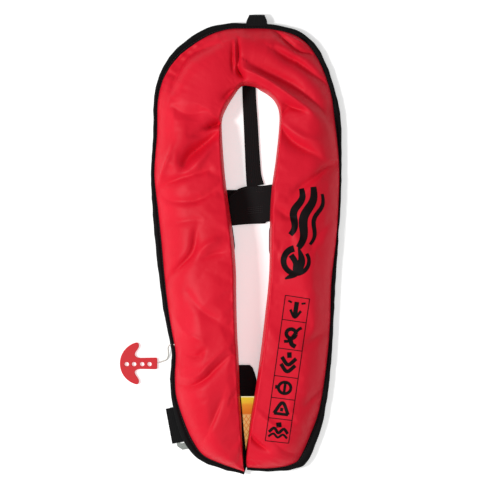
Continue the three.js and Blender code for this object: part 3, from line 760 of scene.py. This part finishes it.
# --- Hanging loop and harness webbing ---------------------------------------------------------
# Black polyester webbing with a ribbed face: the loop at the neck, the back strap that runs down
# through the neck opening to the yoke, and the waist belt folded away behind the lobes.
WEBBING = 1.8
BELT_WIDTH = 43
BELT_MIDDLE = 2.3


def webbing_material(name, base, rib):
    """Webbing whose ribs run across it, drawn on a UV map in metres: U along it, V around it."""
    made, shader = material(name, base, 0.8, Specular_IOR_Level=0.25)
    uv = add(made, "ShaderNodeTexCoord").outputs["UV"]
    waves = [add(made, "ShaderNodeTexWave", {"Vector": uv, "Scale": WAVE_REPEAT / (size * MM)},
                 bands_direction=axis).outputs["Fac"]
             for axis, size in (("X", rib), ("Y", rib * 1.9))]
    ribs = add(made, "ShaderNodeMath", {0: waves[0], 1: waves[1]}, operation="MULTIPLY")
    bump = add(made, "ShaderNodeBump",
               {"Height": ribs.outputs[0], "Strength": 0.9, "Distance": rib * MM / 2.5})
    link(made, bump.outputs[0], shader.inputs["Normal"])
    tone = ramp(made, ribs.outputs[0], [(0.0, "#060607"), (1.0, base)])
    link(made, tone.outputs[0], shader.inputs["Base Color"])
    return made


black_webbing = webbing_material("black_webbing", "#121213", 1.3)


def ribbon(name, line, width, thickness, side=None, count=60, sway=0.25, seed=1.0):
    """Webbing carried along a line in mm, flat side up unless the direction of its width is given."""
    centre = smooth_line(line, count)
    widths = np.interp(np.linspace(0, 1, count), np.linspace(0, 1, len(np.atleast_1d(width))),
                       np.atleast_1d(width))
    run = np.gradient(centre, axis=0)
    run /= np.linalg.norm(run, axis=1)[:, None]
    rows = []
    for k in range(count):
        across_run = np.array(side, float) if side else np.array([run[k, 1], -run[k, 0], 0.0])
        across_run /= np.linalg.norm(across_run)
        up = np.cross(across_run, run[k])
        row = []
        for turn in np.linspace(0, 2 * math.pi, 24, endpoint=False):
            c, s = math.cos(turn), math.sin(turn)
            x = math.copysign(abs(c) ** 0.34, c) * widths[k] / 2
            z = math.copysign(abs(s) ** 0.34, s) * thickness / 2
            drift = sway * noise.noise((centre[k, 0] / 30 + seed, centre[k, 1] / 30, x / 30))
            row.append(centre[k] + across_run * x + up * (z + drift))
        rows.append(row)
    return outward(grid_piece(name, rows, wrap=True, caps=True))


loop_line = [(14, 297, 12.2), (14.3, 304, 12.3), (14.5, 310.5, 11.2), (14.5, 312.2, 8), (14.5, 310.5, 4.8),
             (14.3, 304, 3.8), (14, 297, 3.8)]
LOOP_WIDTHS = [30, 28, 22, 21.5, 22, 28, 30]
loop = ribbon("hanging_loop_webbing", loop_line, LOOP_WIDTHS, 1.4, side=(1, 0, 0), count=48)
finish_piece(loop, black_webbing, replaces=["hanging_loop"])

strap_line = [(3.5, 256, 2.3), (3.6, 238, 2.3), (4, 205, 2.3), (6, 168, 2.3), (8, 129, 2.3), (10, 96, 2.4),
              (12.5, 80, 2.6)]
STRAP_WIDTHS = [19.5, 19, 18.5, 19.5, 20, 21, 24]
back_strap = ribbon("back_strap_webbing", strap_line, STRAP_WIDTHS, WEBBING, count=90)
finish_piece(back_strap, black_webbing, replaces=["back_strap"])

belts = {
    "left": [("across", [(15, 53.5), (-20, 53.5), (-62, 53.5), (-84, 53.5)]),
             ("down", [(-64, 74), (-64, 36), (-64, 14), (-64, -4), (-64, -206)])],
    "right": [("across", [(16, 53.5), (50, 53.5), (80, 53.5), (99, 53.5)]),
              ("down", [(79.5, 74), (79.5, 36), (79.5, 14), (79.5, -4), (79.5, -206)])],
}
# The run down the lobe is folded over the run from the yoke where they cross.
BELT_LAP = 0.85
CROSSING_LOW = 20
for side, runs in belts.items():
    for part, plan in runs:
        if part == "across":
            line = [(x, y, BELT_MIDDLE - BELT_LAP) for x, y in plan]
        else:
            line = [(x, y, BELT_MIDDLE + (BELT_LAP if y > CROSSING_LOW else 0)) for x, y in plan]
        belt = ribbon(f"waist_belt_{side}_{part}", line, BELT_WIDTH - 0.4, WEBBING - 0.3, count=40,
                      sway=0.15)
        finish_piece(belt, black_webbing, replaces=[f"belt_{side}"])


def flat_patch(name, outline, low, high, edge=0.3, holes=()):
    """A flat piece with rounded edges from a plan outline and holes in mm, between two heights."""
    drawing = bpy.data.curves.new(name, "CURVE")
    drawing.dimensions = "2D"
    drawing.fill_mode = "BOTH"
    drawing.extrude = (high - low) * MM / 2 - edge * MM
    drawing.bevel_depth = edge * MM
    drawing.bevel_resolution = 2
    drawing.offset = -edge * MM
    for points in (outline, *holes):
        spline = drawing.splines.new("POLY")
        spline.points.add(len(points) - 1)
        for knot, (x, y) in zip(spline.points, points):
            knot.co = (x * MM, y * MM, 0, 1)
        spline.use_cyclic_u = True
    shape = bpy.data.objects.new(name, drawing)
    scene.collection.objects.link(shape)
    mesh = bpy.data.meshes.new_from_object(shape)
    bpy.data.objects.remove(shape)
    mesh.transform(Matrix.Translation((0, 0, (low + high) * MM / 2)))
    layer = mesh.uv_layers.new(name="UVMap")
    for loop_corner in mesh.loops:
        point = mesh.vertices[loop_corner.vertex_index].co
        layer.data[loop_corner.index].uv = (point.x, point.y)
    piece = bpy.data.objects.new(name, mesh)
    scene.collection.objects.link(piece)
    deselect()
    piece.select_set(True)
    bpy.context.view_layer.objects.active = piece
    bpy.ops.object.shade_smooth_by_angle(angle=math.radians(35))
    return outward(piece)


end_outline = [(-41, -207), (14, -207), (14, -184), (12, -176), (9, -168), (5, -164), (-41, -164)]
belt_end = flat_patch("waist_belt_front_end", end_outline, 1.4, 3.2, edge=0.6)
finish_piece(belt_end, black_webbing, replaces=["belt_front_end"])

BUCKLE_TURN = math.radians(10.6)
BUCKLE_STRAP_WIDTH, BUCKLE_STRAP_HALF = 41.8, 24.3
buckle_run = np.array([-math.sin(BUCKLE_TURN), math.cos(BUCKLE_TURN)])
strap_ends = [np.array([-85.0, -244.0]) + buckle_run * BUCKLE_STRAP_HALF * end for end in (-1, 0, 1)]
strap_ends = [(x, y, BELT_MIDDLE) for x, y in strap_ends]
buckle_strap = ribbon("buckle_strap_webbing", strap_ends, BUCKLE_STRAP_WIDTH, WEBBING, count=30)
finish_piece(buckle_strap, black_webbing, replaces=["buckle_strap"])


# --- Yoke and belt loops ----------------------------------------------------------------------
# Flat sleeves of black polyester that the belt runs through. The yoke shows in the neck opening,
# a little askew, with bar tacks where the back strap is sewn to it.
SLEEVE_SIDES = 32
SLEEVE_WALL = 0.9
SLEEVE_HALF = 2.25


def hollow_sleeve(name, sections):
    """A flat sleeve from cross sections of (centre, half width vector, half thickness) in mm."""
    points, faces = [], []
    rows = len(sections)
    for inset in (0, SLEEVE_WALL):
        start = len(points)
        for centre, half, thick in sections:
            reach = np.linalg.norm(half)
            for turn in np.linspace(0, 2 * math.pi, SLEEVE_SIDES, endpoint=False):
                c, s = math.cos(turn), math.sin(turn)
                x = math.copysign(abs(c) ** 0.3, c) * (reach - inset) / reach
                z = math.copysign(abs(s) ** 0.3, s) * (thick - inset)
                points.append((np.array(centre) + np.array(half) * x + np.array((0, 0, z))) * MM)
        faces += grid_faces(rows, SLEEVE_SIDES, wrap=True, start=start)
    inner = rows * SLEEVE_SIDES
    for row in (0, (rows - 1) * SLEEVE_SIDES):
        for k in range(SLEEVE_SIDES):
            a, b = row + k, row + (k + 1) % SLEEVE_SIDES
            faces.append((a, b, inner + b, inner + a))
    return outward(mesh_piece(name, points, faces))


# (x, upper edge, lower edge) of the yoke.
YOKE_EDGES = [(-24, 66, 26), (-18, 71, 26), (-10, 76.5, 26.8), (2, 80, 27.8), (14, 80.3, 28.4),
              (25, 80.8, 28.8), (28, 81.2, 31), (36, 82, 31.5), (56, 80, 31)]
yoke_line = smooth_line(YOKE_EDGES, 60)
yoke_sections = [((x, (top + low) / 2, 2.35), (0, (top - low) / 2, 0), SLEEVE_HALF)
                 for x, top, low in yoke_line]
yoke = hollow_sleeve("yoke_sleeve_cloth", yoke_sections)
finish_piece(yoke, black_polyester, replaces=["yoke_sleeve"])

for side, middle in [("left", -64.0), ("right", 79.5)]:
    loop_sections = [((middle, y, BELT_MIDDLE), (25.5, 0, 0), SLEEVE_HALF)
                     for y in np.linspace(-160, -126, 12)]
    belt_loop = hollow_sleeve(f"belt_loop_{side}_cloth", loop_sections)
    finish_piece(belt_loop, black_polyester, replaces=[f"belt_loop_{side}"])

for row in range(4):
    tack = [(x, 42 + 2.6 * row + 0.12 * x, 4.75) for x in np.linspace(2, 25, 12)]
    stitches(f"yoke_tack_{row}", np.array(tack), 2.4, 1.9, 0.28, thread)
for row in range(3):
    tack = [(x, 72 + 2.6 * row, 4.85) for x in np.linspace(13, 25, 8)]
    stitches(f"strap_tack_{row}", np.array(tack), 2.4, 1.9, 0.28, thread)
yoke_hem = np.array([(x, top - 3, 4.65) for x, top, _ in yoke_line[4:-4]])
stitches("yoke_hem_stitches", yoke_hem, 3.6, 2.6, 0.25, thread)


# --- Label ------------------------------------------------------------------------------------
# A sewn-in cloth label that shows in the gap under the lobes: a plain yellow head with a painted
# reflection of the red lobes that runs down into orange, and a pale field with a printed cross-hatch.
label_cloth, label_shader = material("printed_label_painted_bounce_and_glow", "#F0A030", 0.6, Sheen_Weight=0.1)
place = add(label_cloth, "ShaderNodeTexCoord").outputs["Object"]
axes = add(label_cloth, "ShaderNodeSeparateXYZ", {"Vector": place})
LABEL_TOP, LABEL_LOW = -0.208, -0.283
HEAD_SHARE = 0.33
HATCH_PITCH = 0.0048
HATCH_LEAN = 0.6
down = add(label_cloth, "ShaderNodeMapRange", {
    "Value": axes.outputs["Y"], "From Min": LABEL_TOP, "From Max": LABEL_LOW, "To Min": 0.0, "To Max": 1.0})
# Painted reflection: the head runs from yellow at its top down into orange, the red light of the lobes
# thrown into the gap.
field_and_painted_bounce_tone = ramp(label_cloth, down.outputs[0], [
    (0.0, "#F4E23C"), (0.10, "#F2C838"), (0.14, "#EFA232"), (0.30, "#E07A22"), (HEAD_SHARE, "#F2C27A"),
    (1.0, "#F0B866")])
hatch = []
for lean in (HATCH_LEAN, -HATCH_LEAN):
    turned = add(label_cloth, "ShaderNodeMapping", {"Vector": place, "Rotation": (0, 0, lean)})
    line = add(label_cloth, "ShaderNodeTexWave",
               {"Vector": turned.outputs[0], "Scale": WAVE_REPEAT / HATCH_PITCH})
    hatch.append(line.outputs["Fac"])
lattice = add(label_cloth, "ShaderNodeMath", {0: hatch[0], 1: hatch[1]}, operation="MAXIMUM")
lines = ramp(label_cloth, lattice.outputs[0], [(0.86, "#000000"), (0.95, "#FFFFFF")])
field = add(label_cloth, "ShaderNodeMath", {0: down.outputs[0], 1: HEAD_SHARE},
            operation="GREATER_THAN")
mask = add(label_cloth, "ShaderNodeMath", {0: lines.outputs[0], 1: field.outputs[0]}, operation="MULTIPLY")
mix = add(label_cloth, "ShaderNodeMixRGB", {"Fac": mask.outputs[0], "Color1": field_and_painted_bounce_tone.outputs[0]})
mix.inputs["Color2"].default_value = colour("#D98A3C")
link(label_cloth, mix.outputs[0], label_shader.inputs["Base Color"])
# The label glows a little, a painted light that keeps it bright in the shadow of the lobes.
link(label_cloth, mix.outputs[0], label_shader.inputs["Emission Color"])
label_shader.inputs["Emission Strength"].default_value = 0.55

label_xs, label_ys = np.linspace(-49.8, 51.8, 30), np.linspace(-208.2, -282.8, 24)
label_plan = np.array([[(x, y) for x in label_xs] for y in label_ys])
label_wave = soft_noise(label_plan.reshape(-1, 2), 22, 4.9).reshape(24, 30) * 0.3
label = tube_grid(level(label_plan, 2.9 + label_wave), level(label_plan, 2.1 + label_wave))
label_piece = outward(grid_piece("sewn_label", label, wrap=True, caps=True))
finish_piece(label_piece, label_cloth, replaces=["instruction_label"])


# --- Pull handle ------------------------------------------------------------------------------
# Red moulded plastic, a crescent with a short stem and four round holes, with rounded edges.
HANDLE_X, HANDLE_Y = -143, -162
HANDLE_R, STEM_HALF, STEM_END = 29.5, 8, -121.3
TIP_ANGLE = math.radians(104)
tip = (HANDLE_X + HANDLE_R * math.cos(TIP_ANGLE), HANDLE_R * math.sin(TIP_ANGLE))
upper_side = [(STEM_END, STEM_HALF - 2), (STEM_END - 0.6, STEM_HALF - 0.6), (STEM_END - 2, STEM_HALF)]
hollow = smooth_line([(-144, 7.6), (-148.5, 8.2), (-151.6, 10.8), (-151.4, 14.5), (-147.4, 20.5),
                      (-146.2, 24.8), (-147.6, 28), tip], 28)
upper_side += [tuple(p) for p in hollow]
crescent = circle_points(HANDLE_X, 0, HANDLE_R, 106, 254, 44)
lower_side = [(x, -y) for x, y in reversed(upper_side)]
handle_outline = [(x, y + HANDLE_Y) for x, y in upper_side + crescent + lower_side]
handle_holes = [circle_points(x, HANDLE_Y - 1, 2.9, 0, 345, 24) for x in (-163, -153, -142, -132)]
handle = flat_patch("pull_handle_moulding", handle_outline, 0.4, 4.4, edge=0.8, holes=handle_holes)
red_plastic, plastic_shader = material("red_moulded_plastic", "#D2202A", 0.38)
skin = add(red_plastic, "ShaderNodeTexNoise", {"Scale": 900.0, "Detail": 2.0})
link(red_plastic, add(red_plastic, "ShaderNodeTexCoord").outputs["Object"], skin.inputs["Vector"])
skin_bump = add(red_plastic, "ShaderNodeBump",
                {"Height": skin.outputs[0], "Strength": 0.2, "Distance": 0.0002})
link(red_plastic, skin_bump.outputs[0], plastic_shader.inputs["Normal"])
finish_piece(handle, red_plastic, body="pull", replaces=["pull_handle"])


# --- Bladder and soft fittings in the lobes ---------------------------------------------------
# A yellow coated bladder folded flat inside both lobes, low where the inflator and the oral tube
# lie on it, with two reflective patches under it, and the lifting becket and whistle cord on it.
BLADDER_LOW = 8.3
BLADDER_LEAST = 0.6
BLADDER_COLUMNS = 22
LAYER_RIPPLE = 0.8
BAY_TOP = 12.5
BAYS = [(-99, -20, -172, 42), (66, 112, -150, 190)]
inner = slice(int(ALONG * 0.04), int(ALONG * 0.96))
bladder_plan = band_rows(20, 9, BLADDER_COLUMNS)[inner]
bladder_share = np.linspace(0, 1, BLADDER_COLUMNS)[None, :]
bladder_top = BLADDER_LOW + 2 + lobe_profile(bladder_share) * (lobe_thickness[inner, None] - 23)
layers = soft_noise(bladder_plan.reshape(-1, 2), 26, 6.6).reshape(bladder_top.shape)
bladder_top = bladder_top + LAYER_RIPPLE * layers * lobe_profile(bladder_share)
for left, right, low, high in BAYS:
    x, y = bladder_plan[:, :, 0], bladder_plan[:, :, 1]
    inside = (smooth_step(x, left - 7, left) * smooth_step(-x, -right - 7, -right)
              * smooth_step(y, low - 7, low) * smooth_step(-y, -high - 7, -high))
    bladder_top = bladder_top * (1 - inside) + np.minimum(bladder_top, BAY_TOP) * inside
# The folded film gives way wherever a fold of the cover presses into it.
COVER_CLEAR = 3.0
ceiling = np.array([[on_cover(x, y).z / MM - COVER_CLEAR for x, y in row] for row in bladder_plan])
bladder_top = np.maximum(np.minimum(bladder_top, ceiling), BLADDER_LOW + BLADDER_LEAST)
bladder_grid = tube_grid(level(bladder_plan, bladder_top), level(bladder_plan, BLADDER_LOW))
bladder = outward(grid_piece("folded_bladder", bladder_grid, wrap=True, caps=True))
bladder_film = fabric("yellow_bladder_film", "#F0D030", 0.4, 0.6, 0.15)[0]
finish_piece(bladder, bladder_film, replaces=["bladder"])

# Reflective tape: glass beads set in a honeycomb of 3 mm cells.
reflective, reflective_shader = material("reflective_tape", "#C9CED2", 0.35, metallic=0.5)
cells = add(reflective, "ShaderNodeTexVoronoi", {"Scale": 330.0}, feature="DISTANCE_TO_EDGE")
link(reflective, add(reflective, "ShaderNodeTexCoord").outputs["Object"], cells.inputs["Vector"])
cell_tone = ramp(reflective, cells.outputs["Distance"], [(0.02, "#8C9094"), (0.08, "#D3D8DB")])
link(reflective, cell_tone.outputs[0], reflective_shader.inputs["Base Color"])
for side, left in [("left", -84), ("right", 56)]:
    outline = [(left, 60), (left + 40, 60), (left + 40, 140), (left, 140)]
    patch = flat_patch(f"reflective_patch_{side}_tape", outline, 7.0, 7.8, edge=0.15)
    finish_piece(patch, reflective, replaces=[f"reflective_patch_{side}"])

BECKET_HEIGHT = 14.3
becket_plan = [(78, -80), (78, -136), (80, -141.5), (89, -142.5), (98, -141.5), (100, -136), (100, -80)]
becket_line = [(x, y, BECKET_HEIGHT) for x, y in becket_plan]
becket = ribbon("lifting_becket_webbing", becket_line, 7.0, 1.5, count=80, sway=0.1)
finish_piece(becket, black_webbing, replaces=["lifting_becket"])


def tube_piece(name, line, radius, sides=12):
    """A round tube of a radius along a line, in mm."""
    rows = []
    for k, centre in enumerate(line):
        run = line[min(k + 1, len(line) - 1)] - line[max(k - 1, 0)]
        run = run / np.linalg.norm(run)
        side = np.cross(run, (0.0, 0.02, 1.0))
        side /= np.linalg.norm(side)
        up = np.cross(side, run)
        rows.append([centre + (side * math.cos(a) + up * math.sin(a)) * radius
                     for a in np.linspace(0, 2 * math.pi, sides, endpoint=False)])
    return outward(grid_piece(name, rows, wrap=True, caps=True))


LANYARD_ROUTE = [(88, -7.4, 25), (84, 4, 22), (90, 16, 18), (86, 30, 16), (76, 40, 15)]
lanyard = tube_piece("whistle_lanyard_cord", smooth_line(LANYARD_ROUTE, 60), 1.0)
finish_piece(lanyard, braid, replaces=["whistle_lanyard"])


# --- Inflator, oral tube, whistle and buckle --------------------------------------------------
# The hard fittings are shown as their solids are, and take the finish of moulded plastic, turned
# steel, a painted gas cylinder or rubber.
def hard_finish(name, base, roughness, metallic, grain, depth):
    """A moulded or machined surface: its colour, and a fine grain of a size in mm."""
    made, shader = material(name, base, roughness, metallic)
    place = add(made, "ShaderNodeTexCoord").outputs["Object"]
    speckle = add(made, "ShaderNodeTexNoise", {"Vector": place, "Scale": 1 / (grain * MM), "Detail": 3.0})
    bump = add(made, "ShaderNodeBump",
               {"Height": speckle.outputs[0], "Strength": depth, "Distance": grain * MM / 8})
    link(made, bump.outputs[0], shader.inputs["Normal"])
    rough = add(made, "ShaderNodeMapRange", {
        "Value": speckle.outputs[0], "To Min": roughness - 0.06, "To Max": roughness + 0.08})
    link(made, rough.outputs[0], shader.inputs["Roughness"])
    return made


FITTINGS = [
    # (material, slot, colour, roughness, metallic, grain in mm, depth, nodes)
    ("black_moulded_plastic", "black_plastic", "#1D1D1F", 0.45, 0, 0.8, 0.25,
     ["valve_flange", "valve_nut", "inflator_body", "lever", "oral_tube", "oral_valve_body",
      "belt_slider"]),
    ("yellow_moulded_plastic", "yellow_plastic", "#E4C024", 0.4, 0, 0.8, 0.2, ["bobbin_cap", "oral_cap"]),
    ("orange_moulded_plastic", "orange_plastic", "#F0A21C", 0.35, 0, 0.8, 0.2, ["whistle"]),
    ("green_moulded_plastic", "green_plastic", "#2F9A4A", 0.4, 0, 0.8, 0.2, ["safety_clip"]),
    ("white_bobbin_plastic", "white_plastic", "#EFE9DC", 0.6, 0, 0.8, 0.3, ["bobbin"]),
    ("red_valve_plastic", "red_plastic", "#D43A2A", 0.4, 0, 0.8, 0.2, ["oral_poppet"]),
    ("stainless_steel", "steel", "#C8CEC8", 0.28, 1, 1.5, 0.15,
     ["buckle_plate", "lever_pin", "firing_pin"]),
    ("gas_cylinder_steel", "gas_steel", "#6F7478", 0.38, 0.9, 1.2, 0.2, ["co2_cylinder"]),
    ("black_rubber", "rubber", "#1A1A1A", 0.85, 0, 0.6, 0.4,
     ["cylinder_gasket", "valve_washer_lower", "valve_washer_upper"]),
]
looks = {}
for name, slot, base, roughness, metallic, grain, depth, nodes in FITTINGS:
    look = looks[name] = hard_finish(name, base, roughness, metallic, grain, depth)
    for node in nodes:
        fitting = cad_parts[node]
        fitting.data.materials.clear()
        fitting.data.materials.append(look)

# Coil springs of the firing pin and of the oral valve.
SPRINGS = [
    # (node, axis x and z, coil radius, wire diameter, lower and upper end in y, joint, fixed end)
    ("pin_spring", -56, 29, 3.2, 0.9, -127.9, -118.1, "pin_strike", -118.1),
    ("poppet_spring", 88, 24, 3.65, 0.8, 129.1, 137.5, "oral_valve_press", 129.1),
]
COIL_TURNS = 5
for node, x, z, radius, wire, low, high, joint, fixed in SPRINGS:
    helix = []
    for t in np.linspace(0, 1, COIL_TURNS * 24):
        angle = 2 * math.pi * COIL_TURNS * t
        y = low + wire / 2 + (high - low - wire) * t
        helix.append((x + radius * math.cos(angle), y, z + radius * math.sin(angle)))
    spring = tube_piece(f"{node}_coil", np.array(helix), wire / 2, sides=8)
    finish_piece(spring, looks["stainless_steel"], replaces=[node])
    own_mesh(spring)


# --- Table and light --------------------------------------------------------------------------
# A plain pale table that glows a little, a key light from the left, a wide weak fill from the foot
# of the jacket, and an even white surround.
TABLE_HALF = 3
corners = [(x * TABLE_HALF, y * TABLE_HALF, 0) for x, y in ((-1, -1), (1, -1), (1, 1), (-1, 1))]
table = mesh_piece("table", corners, [(0, 1, 2, 3)], smooth=False)
table_white, table_shader = material("table_white", "#F4F4F3", 0.8, Emission_Strength=0.45,
                                     Emission_Color=(1.0, 1.0, 1.0, 1.0))
table_grain = add(table_white, "ShaderNodeTexNoise", {"Scale": 30.0})
link(table_white, add(table_white, "ShaderNodeTexCoord").outputs["Object"], table_grain.inputs["Vector"])
table_bump = add(table_white, "ShaderNodeBump", {"Height": table_grain.outputs[0], "Strength": 0.02})
link(table_white, table_bump.outputs[0], table_shader.inputs["Normal"])
table.data.materials.append(table_white)


KEY_POWER, FILL_POWER, SURROUND = 31, 9, 0.32


def area_light(name, power, size, place, target=(0, 0, 0)):
    data = bpy.data.lights.new(name, "AREA")
    data.energy = power
    data.shape = "SQUARE"
    data.size = size
    lamp = bpy.data.objects.new(name, data)
    lamp.location = place
    lamp.rotation_euler = (Vector(target) - Vector(place)).to_track_quat("-Z", "Y").to_euler()
    scene.collection.objects.link(lamp)


area_light("key", KEY_POWER, 0.4, (-1.35, -0.1, 1.7))
area_light("fill", FILL_POWER, 1.4, (0.5, -1.6, 1.9))
world = bpy.data.worlds.new("studio")
world.use_nodes = True
world.node_tree.nodes["Background"].inputs["Color"].default_value = (1, 1, 1, 1)
world.node_tree.nodes["Background"].inputs["Strength"].default_value = SURROUND
scene.world = world
scene.view_settings.view_transform = "Standard"
scene.view_settings.look = "None"
